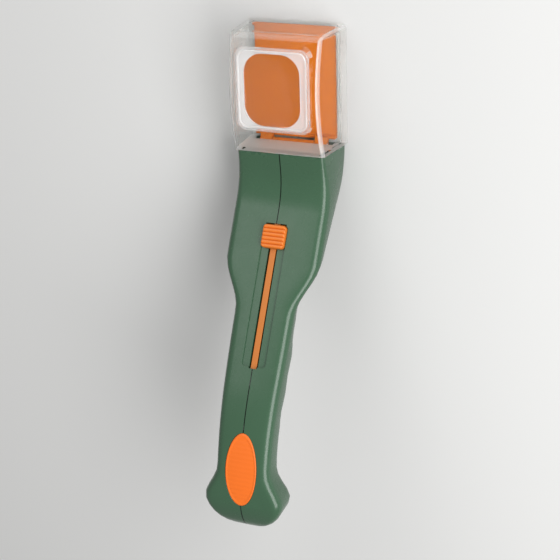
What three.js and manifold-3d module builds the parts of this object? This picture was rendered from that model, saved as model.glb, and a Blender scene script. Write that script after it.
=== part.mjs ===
// Bug catcher: a clear catching chamber with a magnifier, on a hollow two-piece handle.
// A thumb button in the handle's slot draws the trap door out of the chamber's open base.
// Millimetres. +Z up from the base rim, +Y towards the chamber's front, +X to the right.
import * as THREE from "three";
import { mergeVertices } from "three/addons/utils/BufferGeometryUtils.js";
import Module from "manifold-3d";

const wasm = await Module();
wasm.setup();

// Fits
const PART_GAP = 0.3;
const RUN_GAP = 0.4;

// Chamber
const CHAMBER_LENGTH = 74.5;
const CHAMBER_BASE_HALF_WIDTH = 32.2;
const CHAMBER_DRAFT_DEG = 4.8;
const CHAMBER_EDGE_HEIGHT = 33.6;
const CHAMBER_ARCH = 6.4;
const CHAMBER_WALL = 2;
const CHAMBER_CORNER = 3;
const BASE_EDGE_RADIUS = 0.4;
const RAIL_WIDTH = 5.6;
const RAIL_HEIGHT = 5.6;
const GROOVE_DEPTH = 1.4;
const MOUTH_CLEARANCE = 2.2;
const TONGUE_LENGTH = 8;
const TONGUE_THICKNESS = 1.6;
const TONGUE_FOOT_HEIGHT = 17;
const PEG_RADIUS = 1.7;
const PEG_HEIGHT = 22;

// Magnifier
const LENS_FRAME_WIDTH = 46.8;
const LENS_FRAME_LENGTH = 50.2;
const LENS_FRAME_CORNER = 6;
const LENS_FRAME_HEIGHT = 1.6;
const LENS_FRAME_TAPER_DEG = 18;
const LENS_REAR_MARGIN = 15.8;
const LENS_WIDTH = 35.8;
const LENS_LENGTH = 44;
const LENS_CORNER = 12;
const LENS_STEP = 0.8;
const LENS_BULGE = 3;
const LENS_SPIGOT_DEPTH = 2;
const LENS_SPIGOT_INSET = 3;

// Handle outline
const HANDLE_LENGTH = 222;
const HANDLE_WALL = 2;
const END_THICKENING = 1.5;
const HEAD_FLOOR = 1.7;
const JUNCTION_STEP = 0.8;
const HEAD_DIP_DEG = 7;
const HEAD_DIP_END = 12;
const SLOT_RISE_DEG = 29.2;
const SLOT_RISE_START = 36;
const SLOT_RISE_END = 130;
const TOP_CROWN = 0.5;
const HEAD_HALF_WIDTH = 31;
const HEAD_TAPER = 2.3;
const HEAD_END = 63;
const NECK_HALF_WIDTH = 19.5;
const NECK_END = 92;
const GRIP_HALF_WIDTH = 17.6;
const GRIP_TAPER = 0.8;
const POMMEL_LENGTH = 42;
const POMMEL_FLARE = 8.4;
const POMMEL_WIDEST_INSET = 20;
const POMMEL_CREST_INSET = 17;
const POMMEL_ROUND = 24;
const POMMEL_LEAN = 0.14;
const TOP_EDGE_RADIUS = 5.5;
const HEAD_BOTTOM_RADIUS = 4;
const GRIP_BOTTOM_RADIUS = 6.5;
const INNER_RADIUS_LEAST = 0.8;

// Underside of the handle: grades by the distance behind the junction
const KEEL_FLAT_END = 18;
const KEEL_RISE_START = 34;
const KEEL_RISE_END = 58;
const KEEL_RISE = 0.88;
const GRIP_START = 74;
const GRIP_RISE = 0.45;
const PALM_START = 105;
const PALM_CREST = 125;
const PALM_RISE = 0.56;
const PALM_END = 155;
const SWELL_LENGTH = 42;
const SWELL_RISE = 0.12;
const SWELL_DROP = -0.2;
const SCALLOP_COUNT = 3;
const SCALLOP_PITCH = 21;
const SCALLOP_DEPTH = 1.8;
const SCALLOP_START = 97;

// Slide and trap door
const HINGE_Y = 0.6;
const DOOR_TRAVEL = 72;
const DOOR_THICKNESS = 1.8;
const DOOR_LIFT = 2.4;
const DOOR_EDGE_RADIUS = 0.5;
const RECESS_DEPTH = 1.2;
const RECESS_FLOOR = 2.6;
const STRIP_HALF_WIDTH = 1.9;
const STRIP_THICKNESS = 1.4;
const STRIP_SINK = 0.2;
const STRIP_SEAT = 4;
const SLOT_OVERRUN = 1.2;
const TRAVEL_SPARE = 1.2;
const SLOT_CORNER = 1;
const PLATE_THICKNESS = 2.2;
const SHANK_HALF_WIDTH = 8;
const CROSSBAR_HALF_WIDTH = 24;
const CROSSBAR_LENGTH = 6;
const SHOULDER_LENGTH = 15;
const TAIL_LENGTH = 9;
const TAIL_CORNER = 2;
const KNUCKLE_RADIUS = 2;
const WEB_SHARE = 0.98;
const PIN_RADIUS = 1;
const PIN_LENGTH = 44;
const DOOR_KNUCKLE_LENGTH = 8;
const LUG_RADIUS = 0.9;
const RISER_OFFSET = 3;
const RISER_FILLET = 1;
const GUIDE_RIB = 2;
const GUIDE_REACH = 1;
const GUIDE_START = 84;

// Thumb button
const BUTTON_LENGTH = 14.6;
const BUTTON_WIDTH = 15.2;
const BUTTON_BODY = 2.8;
const BUTTON_CORNER = 2.4;
const BUTTON_RIDGES = 6;
const BUTTON_RIDGE_HEIGHT = 1;
const BUTTON_BACK = 52.8;
const LEG_HALF_LENGTH = 5;
const LEG_THICKNESS = 0.6;
const LEG_GAP = 0.2;
const HOOK_WIDTH = 0.7;
const HOOK_HEIGHT = 1.3;

// Grip inlay
const INLAY_WIDTH = 21;
const INLAY_LENGTH = 46;
const INLAY_INSET = 42.5;
const INLAY_SINK = 1.8;
const INLAY_PROUD = 0.6;
const INLAY_RIBS = 15;
const INLAY_RIB_DEPTH = 0.3;
const INLAY_RIM = 1.6;
const INLAY_GROOVE_SHARE = 0.5;

// Case screws: their place behind the junction or from the handle's end, and how far up the side they sit
const SCREW_RADIUS = 1.4;
const SCREW_HEAD_RADIUS = 2.7;
const SCREW_HEAD_HEIGHT = 1.8;
const SCREW_REACH = 8;
const SCREW_SINK = 2;
const BOSS_RADIUS = 3.2;
const HEAD_BOSS_BACK = 13;
const HEAD_BOSS_SHARE = 0.8;
const NECK_BOSS_BACK = 92;
const NECK_BOSS_SHARE = 0.29;
const GRIP_BOSS_BACK = 146;
const POMMEL_BOSS_INSET = 32;
const GRIP_BOSS_SHARE = 0.45;

const RISE = THREE.MathUtils.degToRad(SLOT_RISE_DEG);
const RISE_TAN = Math.tan(RISE);
const RISE_COS = Math.cos(RISE);

// Facets, and lengths that only have to be long enough for a clean cut
const ROUND_SIDES = 20;
const CURVE_SEGMENTS = 5;
const OVAL_SEGMENTS = 20;
const CORNER_STEPS = 6;
const LENS_RINGS = 6;
const FINE_STEPS = { top: 4, corner: 5 };
const COARSE_STEPS = { top: 2, corner: 2 };
const CHAMBER_STEPS = { top: 1, corner: 6 };
const SLANT_REACH = 1;
const OUTER_STEP = 5;
const INNER_STEP = 12;
const CHAMBER_STEP = 6;
const POMMEL_TURN = 0.2;
const CHAMBER_TURN = 0.27;
const ROUND_END_SHARE = 0.995;
const BEZIER_PEAK = 0.75;
const WELD = 1e-4;
const CUT_MARGIN = 1;
const FAR = 400;

// Solids and meshes
function solidOf(geometry, matrix = new THREE.Matrix4()) {
  const bare = new THREE.BufferGeometry();
  const source = geometry.index ? geometry.toNonIndexed() : geometry;
  bare.setAttribute("position", source.getAttribute("position").clone());
  bare.applyMatrix4(matrix);
  const merged = mergeVertices(bare, WELD);
  return new wasm.Manifold(
    new wasm.Mesh({
      numProp: 3,
      vertProperties: merged.attributes.position.array,
      triVerts: new Uint32Array(merged.index.array),
    }),
  );
}

function meshOf(name, solid, material) {
  const data = solid.getMesh();
  const geometry = new THREE.BufferGeometry();
  geometry.setAttribute("position", new THREE.BufferAttribute(data.vertProperties, 3));
  geometry.setIndex(new THREE.BufferAttribute(data.triVerts, 1));
  const flat = geometry.toNonIndexed();
  flat.computeVertexNormals();
  const mesh = new THREE.Mesh(flat, material);
  mesh.name = name;
  return mesh;
}

function joined(solids) {
  return solids.reduce((sum, next) => sum.add(next));
}

// A closed solid through rings with the same number of points, capped flat at both ends.
function loft(rings) {
  const sides = rings[0].length;
  const positions = rings.flat().flatMap((p) => [p.x, p.y, p.z]);
  const index = [];
  for (let r = 0; r + 1 < rings.length; r++) {
    for (let s = 0; s < sides; s++) {
      const a = r * sides + s;
      const b = r * sides + ((s + 1) % sides);
      index.push(a, b, b + sides, a, b + sides, a + sides);
    }
  }
  const last = (rings.length - 1) * sides;
  for (let s = 1; s + 1 < sides; s++) {
    index.push(0, s + 1, s);
    index.push(last, last + s, last + s + 1);
  }
  const geometry = new THREE.BufferGeometry();
  geometry.setAttribute("position", new THREE.Float32BufferAttribute(positions, 3));
  geometry.setIndex(index);
  return geometry;
}

function boxBetween(low, high, matrix) {
  const size = high.map((value, i) => value - low[i]);
  const centre = high.map((value, i) => (value + low[i]) / 2);
  return solidOf(new THREE.BoxGeometry(...size).translate(...centre), matrix);
}

// A round bar along X between two X values.
function barAlongX(radius, fromX, toX, y, z, matrix) {
  const bar = new THREE.CylinderGeometry(radius, radius, toX - fromX, ROUND_SIDES);
  bar.rotateZ(Math.PI / 2);
  return solidOf(bar.translate((fromX + toX) / 2, y, z), matrix);
}

function roundedRectangle(halfX, halfY, radius) {
  const shape = new THREE.Shape();
  shape.moveTo(halfX, -halfY + radius);
  shape.absarc(halfX - radius, halfY - radius, radius, 0, Math.PI / 2);
  shape.absarc(-halfX + radius, halfY - radius, radius, Math.PI / 2, Math.PI);
  shape.absarc(-halfX + radius, -halfY + radius, radius, Math.PI, 1.5 * Math.PI);
  shape.absarc(halfX - radius, -halfY + radius, radius, 1.5 * Math.PI, 2 * Math.PI);
  return shape;
}

// A flat shape in XY raised from one height to another.
function raised(shape, fromZ, toZ, matrix, curveSegments = CURVE_SEGMENTS) {
  const options = { depth: toZ - fromZ, bevelEnabled: false, curveSegments };
  return solidOf(new THREE.ExtrudeGeometry(shape, options).translate(0, 0, fromZ), matrix);
}

// A shape drawn in YZ and run across the part in X, centred.
function across(shape, width, matrix) {
  const options = { depth: width, bevelEnabled: false, curveSegments: CURVE_SEGMENTS };
  const geometry = new THREE.ExtrudeGeometry(shape, options).translate(0, 0, -width / 2);
  const turn = new THREE.Matrix4().set(0, 0, 1, 0, 1, 0, 0, 0, 0, 1, 0, 0, 0, 0, 0, 1);
  return solidOf(geometry.applyMatrix4(turn), matrix);
}

// A shape drawn in XZ and run along the part in Y.
function along(shape, fromY, toY) {
  const options = { depth: toY - fromY, bevelEnabled: false };
  return solidOf(new THREE.ExtrudeGeometry(shape, options).rotateX(Math.PI / 2).translate(0, toY, 0));
}

// Curves of one variable
function smoothStep(from, to, value) {
  return THREE.MathUtils.smoothstep(value, from, to);
}

// Height reached along a line whose grade changes evenly between the given stations.
function heightAlong(start, grades, at) {
  let height = start;
  for (let i = 0; i + 1 < grades.length; i++) {
    const [from, gradeFrom] = grades[i];
    const [to, gradeTo] = grades[i + 1];
    const reach = Math.min(Math.max(at - from, 0), to - from);
    height += gradeFrom * reach + ((gradeTo - gradeFrom) * reach * reach) / (2 * (to - from));
  }
  return height;
}

// Handle outline, by the distance behind the junction with the chamber
const pommelRoundStart = HANDLE_LENGTH - POMMEL_ROUND;
const gripEnd = HANDLE_LENGTH - POMMEL_LENGTH;
const inlayBack = HANDLE_LENGTH - INLAY_INSET;
const headDip = -Math.tan(THREE.MathUtils.degToRad(HEAD_DIP_DEG));
const topGrades = [
  [0, headDip],
  [HEAD_DIP_END, headDip],
  [SLOT_RISE_START, RISE_TAN],
  [SLOT_RISE_END, RISE_TAN],
  [HANDLE_LENGTH - POMMEL_CREST_INSET, 0],
  [FAR, 0],
];
const undersideGrades = [
  [0, 0],
  [KEEL_FLAT_END, 0],
  [KEEL_RISE_START, KEEL_RISE],
  [KEEL_RISE_END, KEEL_RISE],
  [GRIP_START, GRIP_RISE],
  [PALM_START, GRIP_RISE],
  [PALM_CREST, PALM_RISE],
  [PALM_END, GRIP_RISE],
  [HANDLE_LENGTH - SWELL_LENGTH, SWELL_RISE],
  [pommelRoundStart, SWELL_DROP],
  [HANDLE_LENGTH, 0],
  [FAR, 0],
];
const junctionTop = CHAMBER_EDGE_HEIGHT - JUNCTION_STEP;
const topAt = (back) => heightAlong(junctionTop, topGrades, back);

function undersideAt(back) {
  const phase = (back - SCALLOP_START) / SCALLOP_PITCH;
  const inScallops = phase > 0 && phase < SCALLOP_COUNT;
  const scallop = inScallops ? (SCALLOP_DEPTH * (1 - Math.cos(2 * Math.PI * phase))) / 2 : 0;
  return heightAlong(0, undersideGrades, back) + scallop;
}

function draftOver(height) {
  return height * Math.tan(THREE.MathUtils.degToRad(CHAMBER_DRAFT_DEG));
}

const mix = THREE.MathUtils.lerp;
const chamberHalfTop = CHAMBER_BASE_HALF_WIDTH - draftOver(CHAMBER_EDGE_HEIGHT);

// Half width along the top edges, before the pommel's flare.
function halfWidthAt(back) {
  const head = mix(chamberHalfTop - JUNCTION_STEP, HEAD_HALF_WIDTH, smoothStep(0, SLOT_RISE_START, back));
  const neck = mix(head, NECK_HALF_WIDTH, smoothStep(HEAD_END, NECK_END, back));
  return mix(neck, GRIP_HALF_WIDTH, smoothStep(NECK_END, gripEnd, back));
}

const pommelWidest = HANDLE_LENGTH - POMMEL_WIDEST_INSET;
const flareAt = (back) => POMMEL_FLARE * smoothStep(gripEnd, pommelWidest, back);

// How much narrower the section is at its bottom than at its top.
function taperAt(back) {
  const head = mix(-draftOver(junctionTop), HEAD_TAPER, smoothStep(0, SLOT_RISE_START, back));
  return mix(head, GRIP_TAPER, smoothStep(NECK_END, SLOT_RISE_END, back));
}

// How much longer an upright cut through a sloping wall is than the wall's thickness.
function slantOf(heightAt, back) {
  const climb = heightAt(back + SLANT_REACH) - heightAt(back - SLANT_REACH);
  return Math.hypot(1, climb / (2 * SLANT_REACH));
}

// How far a station lies into the rounded end, from 0 to nearly 1.
function endShare(back, end) {
  const into = (back - pommelRoundStart) / (end - pommelRoundStart);
  return THREE.MathUtils.clamp(into, 0, ROUND_END_SHARE);
}

// The handle's section at one station, drawn in by a wall where it is the inner face.
function handleSection(back, wall) {
  const close = Math.sqrt(1 - endShare(back, HANDLE_LENGTH - END_THICKENING * wall) ** 2);
  const floor = mix(Math.min(wall, HEAD_FLOOR), wall, smoothStep(KEEL_FLAT_END, KEEL_RISE_START, back));
  const top = topAt(back) - wall * slantOf(topAt, back);
  const bottom = undersideAt(back) + floor * slantOf(undersideAt, back);
  const middle = (bottom + top) / 2;
  const lowerFlare = flareAt(back - POMMEL_LEAN * (top - bottom));
  const half = halfWidthAt(back) - wall;
  const topRadius = mix(CHAMBER_CORNER, TOP_EDGE_RADIUS, smoothStep(0, SLOT_RISE_START, back));
  const lowRadius = mix(HEAD_BOTTOM_RADIUS, GRIP_BOTTOM_RADIUS, smoothStep(HEAD_END, NECK_END, back));
  return {
    top: middle + (top - middle) * close,
    bottom: middle + (bottom - middle) * close,
    halfTop: (half + flareAt(back)) * close,
    halfBottom: (half + lowerFlare - taperAt(back)) * close,
    topRadius: Math.max(topRadius - wall, INNER_RADIUS_LEAST) * close,
    lowRadius: Math.max(lowRadius - wall, INNER_RADIUS_LEAST) * close,
    crown: TOP_CROWN * close,
  };
}

// Points of a section's right half, from the top middle down to the bottom middle.
function halfOutline(section, seam, steps) {
  const { top, bottom, halfTop, halfBottom, topRadius, lowRadius, crown } = section;
  const points = [];
  const flat = halfTop - topRadius;
  for (let i = 0; i <= steps.top; i++) {
    const x = seam + ((flat - seam) * i) / steps.top;
    points.push([x, top - crown * (x / flat) ** 2]);
  }
  for (let i = 1; i <= steps.corner; i++) {
    const turn = (Math.PI / 2) * (i / steps.corner);
    const x = flat + topRadius * Math.sin(turn);
    points.push([x, top - crown - topRadius * (1 - Math.cos(turn))]);
  }
  for (let i = 0; i <= steps.corner; i++) {
    const turn = (Math.PI / 2) * (i / steps.corner);
    const x = halfBottom - lowRadius * (1 - Math.cos(turn));
    points.push([x, bottom + lowRadius * (1 - Math.sin(turn))]);
  }
  points.push([seam, bottom]);
  return points;
}

function stations(from, to, step) {
  const count = Math.max(Math.ceil((to - from) / step), 1);
  return Array.from({ length: count + 1 }, (_, i) => from + ((to - from) * i) / count);
}

// Stations close up towards the rounded end.
function handleStations(from, end, step) {
  const straight = stations(from, pommelRoundStart, step);
  const turns = stations(0, Math.PI / 2, POMMEL_TURN).slice(1);
  const round = turns.map((turn) => pommelRoundStart + (end - pommelRoundStart) * Math.sin(turn));
  return [...straight, ...round];
}

// One half of the handle's outer or inner body, on the +X side of the seam.
function handleHalf(from, wall, seam, step, steps) {
  const end = HANDLE_LENGTH - END_THICKENING * wall;
  const rings = handleStations(from, end, step).map((back) => {
    const outline = halfOutline(handleSection(back, wall), seam, steps);
    return outline.map(([x, z]) => new THREE.Vector3(x, -back, z));
  });
  return solidOf(loft(rings.reverse()));
}

const mirrored = (solid) => solid.mirror([1, 0, 0]);

// Frame of the slide: its origin on the door's hinge, its Y down the slope to the chamber
const plateTop = KNUCKLE_RADIUS;
const plateLow = plateTop - PLATE_THICKNESS;
const surfaceZ = plateTop + RUN_GAP + RECESS_FLOOR + RECESS_DEPTH;
const recessFloorZ = surfaceZ - RECESS_DEPTH;
const floorUnderZ = recessFloorZ - RECESS_FLOOR;
const hingeZ = topAt(SLOT_RISE_END) - (SLOT_RISE_END + HINGE_Y) * RISE_TAN - surfaceZ / RISE_COS;
const slideMatrix = new THREE.Matrix4()
  .makeTranslation(0, HINGE_Y, hingeZ)
  .multiply(new THREE.Matrix4().makeRotationX(-RISE));
const hingePlace = new THREE.Vector3(0, HINGE_Y, hingeZ);
const slideY = (back) => -(back + HINGE_Y) / RISE_COS;

const buttonY = slideY(BUTTON_BACK);
const recessFrontY = buttonY + BUTTON_LENGTH / 2 + RUN_GAP;
const recessEndY = buttonY - BUTTON_LENGTH / 2 - DOOR_TRAVEL - TRAVEL_SPARE;
const recessHalfWidth = BUTTON_WIDTH / 2 + RUN_GAP;
const slotHalfWidth = STRIP_HALF_WIDTH + LEG_THICKNESS + 2 * LEG_GAP;
const slotEndY = recessEndY - SLOT_OVERRUN;
const stripTopZ = recessFloorZ - STRIP_SINK;
const stripLowZ = stripTopZ - STRIP_THICKNESS;
const stripFrontY = recessFrontY + STRIP_SEAT;
const stripEndY = slotEndY - STRIP_SEAT;
const ribInner = SHANK_HALF_WIDTH + RUN_GAP;
const ribOuter = ribInner + GUIDE_RIB;

// Chamber
const arch = (y) => (4 * CHAMBER_ARCH * y * (CHAMBER_LENGTH - y)) / CHAMBER_LENGTH ** 2;

// Both side walls lie flat in their draft, while the top follows the arch.
function chamberSection(y, wall, bottom) {
  const fromEnd = CHAMBER_LENGTH - wall - y;
  const t = THREE.MathUtils.clamp(1 - fromEnd / CHAMBER_CORNER, 0, ROUND_END_SHARE);
  const drawIn = CHAMBER_CORNER * (1 - Math.sqrt(1 - t * t));
  const top = CHAMBER_EDGE_HEIGHT + arch(y) - wall - drawIn;
  const topRadius = Math.max(CHAMBER_CORNER - wall, INNER_RADIUS_LEAST);
  const half = CHAMBER_BASE_HALF_WIDTH - wall - drawIn;
  return {
    top,
    bottom,
    halfTop: half - draftOver(top - topRadius),
    halfBottom: half - draftOver(bottom + BASE_EDGE_RADIUS),
    topRadius,
    lowRadius: BASE_EDGE_RADIUS,
    crown: 0,
  };
}

function fullRing(section, steps, y) {
  const right = halfOutline(section, 0, steps);
  const left = right.slice(1, -1).reverse();
  const ring = [...right, ...left.map(([x, z]) => [-x, z])];
  return ring.map(([x, z]) => new THREE.Vector3(x, y, z));
}

function chamberBody(fromY, wall, bottom) {
  const end = CHAMBER_LENGTH - wall;
  const straight = stations(fromY, end - CHAMBER_CORNER, CHAMBER_STEP);
  const round = stations(0, Math.PI / 2, CHAMBER_TURN).slice(1);
  const curved = round.map((turn) => end - CHAMBER_CORNER * (1 - Math.sin(turn)));
  const rings = [...straight, ...curved].map((y) => {
    return fullRing(chamberSection(y, wall, bottom), CHAMBER_STEPS, y);
  });
  return solidOf(loft(rings));
}

const lensY = LENS_REAR_MARGIN + LENS_FRAME_LENGTH / 2;
const collarTop = CHAMBER_EDGE_HEIGHT + CHAMBER_ARCH + PART_GAP;
const lensLow = collarTop + PART_GAP;
const lensTop = lensLow + LENS_FRAME_HEIGHT;
const railInner = CHAMBER_BASE_HALF_WIDTH - RAIL_WIDTH;
const doorHalfWidth = railInner - RUN_GAP;
const doorFrontY = CHAMBER_LENGTH - CHAMBER_WALL - RUN_GAP;
const doorMidZ = DOOR_LIFT + DOOR_THICKNESS / 2;
const lugY = doorFrontY - LUG_RADIUS - PART_GAP;
const lugReach = Math.hypot(lugY - HINGE_Y, hingeZ - doorMidZ);

// How far the leaf turns on its hinge while the slide runs its whole travel.
const riseOver = (travel) => hingeZ - doorMidZ + travel * Math.sin(RISE);
const doorTurn = (travel) => Math.asin(riseOver(travel) / lugReach) - Math.asin(riseOver(0) / lugReach);
const fullTurn = doorTurn(DOOR_TRAVEL);

// The lug drops a little below its true line half way, because the turn follows the travel evenly.
const lugDrop = lugReach * (fullTurn / 2 - doorTurn(DOOR_TRAVEL / 2));
const grooveLow = doorMidZ - LUG_RADIUS - lugDrop - PART_GAP;
const grooveHigh = doorMidZ + LUG_RADIUS + PART_GAP;
const mouthTop = hingeZ + KNUCKLE_RADIUS + MOUTH_CLEARANCE;

// Rings of a rounded rectangle, for the magnifier and its collar
function rectangleRing(halfX, halfY, radius, z) {
  const points = [];
  const corners = [[1, 1], [-1, 1], [-1, -1], [1, -1]];
  corners.forEach(([sx, sy], corner) => {
    for (let i = 0; i <= CORNER_STEPS; i++) {
      const turn = (Math.PI / 2) * (corner + i / CORNER_STEPS);
      const x = sx * (halfX - radius) + radius * Math.cos(turn);
      points.push(new THREE.Vector3(x, sy * (halfY - radius) + radius * Math.sin(turn), z));
    }
  });
  return points;
}

// The frame's outline at one height: it spreads downwards by its taper.
function frameRing(z) {
  const spread = (lensTop - z) * Math.tan(THREE.MathUtils.degToRad(LENS_FRAME_TAPER_DEG));
  return rectangleRing(
    LENS_FRAME_WIDTH / 2 + spread,
    LENS_FRAME_LENGTH / 2 + spread,
    LENS_FRAME_CORNER + spread,
    z,
  );
}

const spigotRing = (gap, z) => rectangleRing(
  LENS_FRAME_WIDTH / 2 - LENS_SPIGOT_INSET - gap,
  LENS_FRAME_LENGTH / 2 - LENS_SPIGOT_INSET - gap,
  LENS_FRAME_CORNER,
  z,
);
const lensPlace = new THREE.Matrix4().makeTranslation(0, lensY, 0);

// Tongues at the chamber's rear corners, which the two handle halves close round
const tongueWall = HANDLE_WALL + PART_GAP + TONGUE_THICKNESS;
const tongueInner = handleSection(0, tongueWall).halfTop;
const frontWallLow = mouthTop + (PART_GAP + HANDLE_WALL) * RISE_TAN;

function captureChamber(material) {
  const rail = boxBetween([railInner, 0, -FAR], [FAR, CHAMBER_LENGTH, RAIL_HEIGHT]);
  const inside = chamberBody(CHAMBER_WALL, CHAMBER_WALL, -CUT_MARGIN);
  const hollow = inside.subtract(rail).subtract(mirrored(rail));
  const collarLow = CHAMBER_EDGE_HEIGHT - CHAMBER_WALL;
  const collar = solidOf(loft([frameRing(collarLow), frameRing(collarTop)]), lensPlace);
  const hole = solidOf(loft([spigotRing(0, collarLow), spigotRing(0, FAR)]), lensPlace);
  const ring = tailBody(HANDLE_WALL + PART_GAP).subtract(tailBody(tongueWall));
  const belowTongues = boxBetween([-FAR, -FAR, -FAR], [FAR, 0, TONGUE_FOOT_HEIGHT]);
  const betweenTongues = boxBetween([-tongueInner, -FAR, -FAR], [tongueInner, 0, FAR]);
  const tongues = ring.subtract(belowTongues).subtract(betweenTongues);
  const mouth = boxBetween(
    [-railInner, -CUT_MARGIN, -CUT_MARGIN],
    [railInner, CHAMBER_WALL + CUT_MARGIN, mouthTop],
  );
  const grooves = boxBetween(
    [-railInner - GROOVE_DEPTH, -CUT_MARGIN, grooveLow],
    [railInner + GROOVE_DEPTH, lugY + LUG_RADIUS + PART_GAP, grooveHigh],
  );
  const pegHoles = barAlongX(PEG_RADIUS + PART_GAP, -FAR, FAR, -TONGUE_LENGTH / 2, PEG_HEIGHT);
  const shell = chamberBody(0, 0, 0).add(collar).subtract(hollow).subtract(hole);
  const body = shell.add(tongues).subtract(mouth).subtract(grooves).subtract(pegHoles);
  return meshOf("capture_chamber", body, material);
}

// The handle's inside carried on from the chamber, drawn in by a wall.
function tailBody(wall) {
  const rings = [-TONGUE_LENGTH, CHAMBER_WALL / 2].map((y) => {
    const section = { ...handleSection(Math.max(-y, 0), wall), bottom: 0 };
    return fullRing(section, COARSE_STEPS, y);
  });
  return solidOf(loft(rings));
}

// Magnifier: a tapered frame with a bulging rounded-square lens inside it
function magnifierLens(material) {
  const rings = [
    spigotRing(PART_GAP, lensLow - LENS_SPIGOT_DEPTH),
    spigotRing(PART_GAP, lensLow),
    frameRing(lensLow),
    frameRing(lensTop),
    rectangleRing(LENS_WIDTH / 2 + LENS_STEP, LENS_LENGTH / 2 + LENS_STEP, LENS_CORNER, lensTop),
  ];
  for (let i = 0; i < LENS_RINGS; i++) {
    const share = Math.cos((Math.PI / 2) * (i / LENS_RINGS));
    const z = lensTop - LENS_STEP + LENS_BULGE * (1 - share * share);
    rings.push(rectangleRing((LENS_WIDTH / 2) * share, (LENS_LENGTH / 2) * share, LENS_CORNER * share, z));
  }
  return meshOf("magnifier_lens", solidOf(loft(rings), lensPlace), material);
}

// Trap door: a flat leaf with a rear riser, hinge knuckles and two front lugs
function knuckle(fromX, toX, webShape) {
  const barrel = barAlongX(KNUCKLE_RADIUS, fromX, toX, 0, 0);
  const shift = new THREE.Matrix4().makeTranslation((fromX + toX) / 2, 0, 0);
  return barrel.add(across(webShape, toX - fromX, shift));
}

function trapDoor(material) {
  const low = DOOR_LIFT - hingeZ;
  const high = low + DOOR_THICKNESS;
  const front = doorFrontY - HINGE_Y;
  const riserTop = -KNUCKLE_RADIUS;
  const riserFront = RISER_OFFSET + DOOR_THICKNESS;
  const profile = new THREE.Shape();
  profile.moveTo(RISER_OFFSET, low);
  profile.lineTo(front - DOOR_EDGE_RADIUS, low);
  profile.quadraticCurveTo(front, low, front, low + DOOR_EDGE_RADIUS);
  profile.lineTo(front, high - DOOR_EDGE_RADIUS);
  profile.quadraticCurveTo(front, high, front - DOOR_EDGE_RADIUS, high);
  profile.lineTo(riserFront + RISER_FILLET, high);
  profile.quadraticCurveTo(riserFront, high, riserFront, high + RISER_FILLET);
  profile.lineTo(riserFront, riserTop);
  profile.lineTo(RISER_OFFSET, riserTop);
  profile.closePath();
  const leaf = across(profile, 2 * doorHalfWidth);
  const webHalf = KNUCKLE_RADIUS * WEB_SHARE;
  const web = new THREE.Shape();
  web.moveTo(0, -webHalf);
  web.lineTo(riserFront, riserTop - DOOR_THICKNESS);
  web.lineTo(riserFront, 0);
  web.lineTo(0, webHalf);
  web.closePath();
  const half = PIN_LENGTH / 2;
  const knuckles = [
    knuckle(half - DOOR_KNUCKLE_LENGTH, half, web),
    knuckle(-half, -half + DOOR_KNUCKLE_LENGTH, web),
  ];
  const lugTip = railInner + GROOVE_DEPTH - PART_GAP;
  const lugs = barAlongX(LUG_RADIUS, -lugTip, lugTip, lugY - HINGE_Y, doorMidZ - hingeZ);
  const pinHole = barAlongX(PIN_RADIUS + PART_GAP, -FAR, FAR, 0, 0);
  const mesh = meshOf("trap_door", joined([leaf, ...knuckles, lugs]).subtract(pinHole), material);
  mesh.position.copy(hingePlace);
  return mesh;
}

// Slide carriage: a flat T under the slot, with the hinge barrel along its front edge
const barrelHalf = PIN_LENGTH / 2 - DOOR_KNUCKLE_LENGTH - RUN_GAP;
const tailY = buttonY - BUTTON_LENGTH / 2 - TAIL_LENGTH;

function slideCarriage(material) {
  const frontY = -KNUCKLE_RADIUS - 2 * RUN_GAP;
  const crossEnd = frontY - CROSSBAR_LENGTH;
  const outline = new THREE.Shape();
  outline.moveTo(-CROSSBAR_HALF_WIDTH, frontY);
  outline.lineTo(-barrelHalf, frontY);
  outline.lineTo(-barrelHalf, 0);
  outline.lineTo(barrelHalf, 0);
  outline.lineTo(barrelHalf, frontY);
  outline.lineTo(CROSSBAR_HALF_WIDTH, frontY);
  outline.lineTo(CROSSBAR_HALF_WIDTH, crossEnd);
  outline.quadraticCurveTo(SHANK_HALF_WIDTH, crossEnd, SHANK_HALF_WIDTH, crossEnd - SHOULDER_LENGTH);
  outline.lineTo(SHANK_HALF_WIDTH, tailY + TAIL_CORNER);
  outline.quadraticCurveTo(SHANK_HALF_WIDTH, tailY, SHANK_HALF_WIDTH - TAIL_CORNER, tailY);
  outline.lineTo(-SHANK_HALF_WIDTH + TAIL_CORNER, tailY);
  outline.quadraticCurveTo(-SHANK_HALF_WIDTH, tailY, -SHANK_HALF_WIDTH, tailY + TAIL_CORNER);
  outline.lineTo(-SHANK_HALF_WIDTH, crossEnd - SHOULDER_LENGTH);
  outline.quadraticCurveTo(-SHANK_HALF_WIDTH, crossEnd, -CROSSBAR_HALF_WIDTH, crossEnd);
  outline.closePath();
  const plate = raised(outline, plateLow, plateTop);
  const barrel = barAlongX(KNUCKLE_RADIUS, -barrelHalf, barrelHalf, 0, 0);
  const pinHole = barAlongX(PIN_RADIUS + PART_GAP, -FAR, FAR, 0, 0);
  const legHole = boxBetween(
    [legInner - PART_GAP, buttonY - LEG_HALF_LENGTH - PART_GAP, -FAR],
    [legOuter + PART_GAP, buttonY + LEG_HALF_LENGTH + PART_GAP, FAR],
  );
  const body = plate.add(barrel).subtract(pinHole).subtract(legHole).subtract(mirrored(legHole));
  return meshOf("slide_carriage", body, material);
}

// Thumb button: a ridged cap astride the strip, with two legs that hook under the carriage
const buttonLow = recessFloorZ + PART_GAP;
const legInner = STRIP_HALF_WIDTH + LEG_GAP;
const legOuter = legInner + LEG_THICKNESS;

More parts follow.
